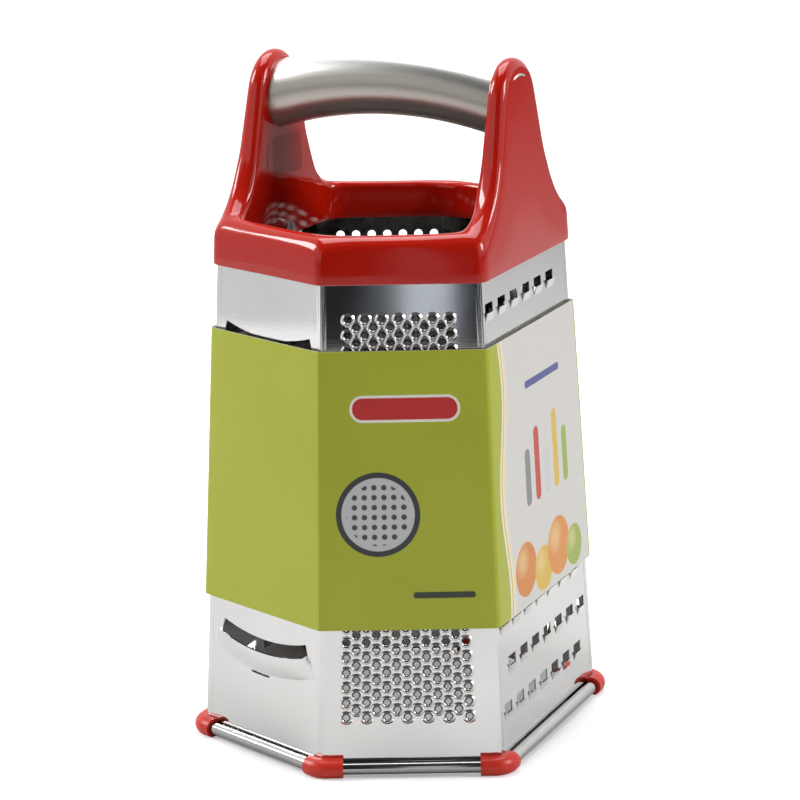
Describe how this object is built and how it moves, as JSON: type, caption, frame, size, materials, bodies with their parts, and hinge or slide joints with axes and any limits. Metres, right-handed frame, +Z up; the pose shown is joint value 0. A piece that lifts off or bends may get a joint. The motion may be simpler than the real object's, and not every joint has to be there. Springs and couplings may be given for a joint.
{
  "type": "box grater",
  "caption": "Hexagonal tapered box grater with punched steel walls, a moulded horned collar, an arched tube handle, corner feet and a slip-off card sleeve.",
  "frame": {"origin": "on the table, at the middle of the ring of feet", "axes": "+Z up along the body; X along the handle, with the two wide end walls facing +X and -X; -Y towards the front fold between the fine rasp and the slicer"},
  "size_m": [0.1232, 0.1476, 0.24],
  "materials": {
    "sheet_steel": "satin rolled stainless sheet",
    "tube_steel": "brushed along the tube",
    "red_plastic": "glossy moulded plastic",
    "plug_plastic": "matt moulded plastic",
    "screw_steel": "turned steel",
    "sleeve_card": "printed and coated card"
  },
  "bodies": {
    "grater": {"collar": "red_plastic", "horn_cover_left": "red_plastic", "horn_cover_right": "red_plastic", "handle_tube": "tube_steel", "handle_plug_left": "plug_plastic", "handle_plug_right": "plug_plastic", "collar_screws": "screw_steel", "panel_fine": "sheet_steel", "panel_shredder": "sheet_steel", "panel_medium": "sheet_steel", "panel_round": "sheet_steel", "panel_coarse": "sheet_steel", "panel_slicer": "sheet_steel", "foot_front": "red_plastic", "foot_front_right": "red_plastic", "foot_rear_right": "red_plastic", "foot_rear": "red_plastic", "foot_rear_left": "red_plastic", "foot_front_left": "red_plastic"},
    "sleeve": {"sleeve": "sleeve_card"}
  },
  "joints": [
    {"name": "sleeve_lift", "type": "slide", "parent": "grater", "child": "sleeve", "axis": [0, 0, 1], "range_m": [0, 0.2]}
  ]
}
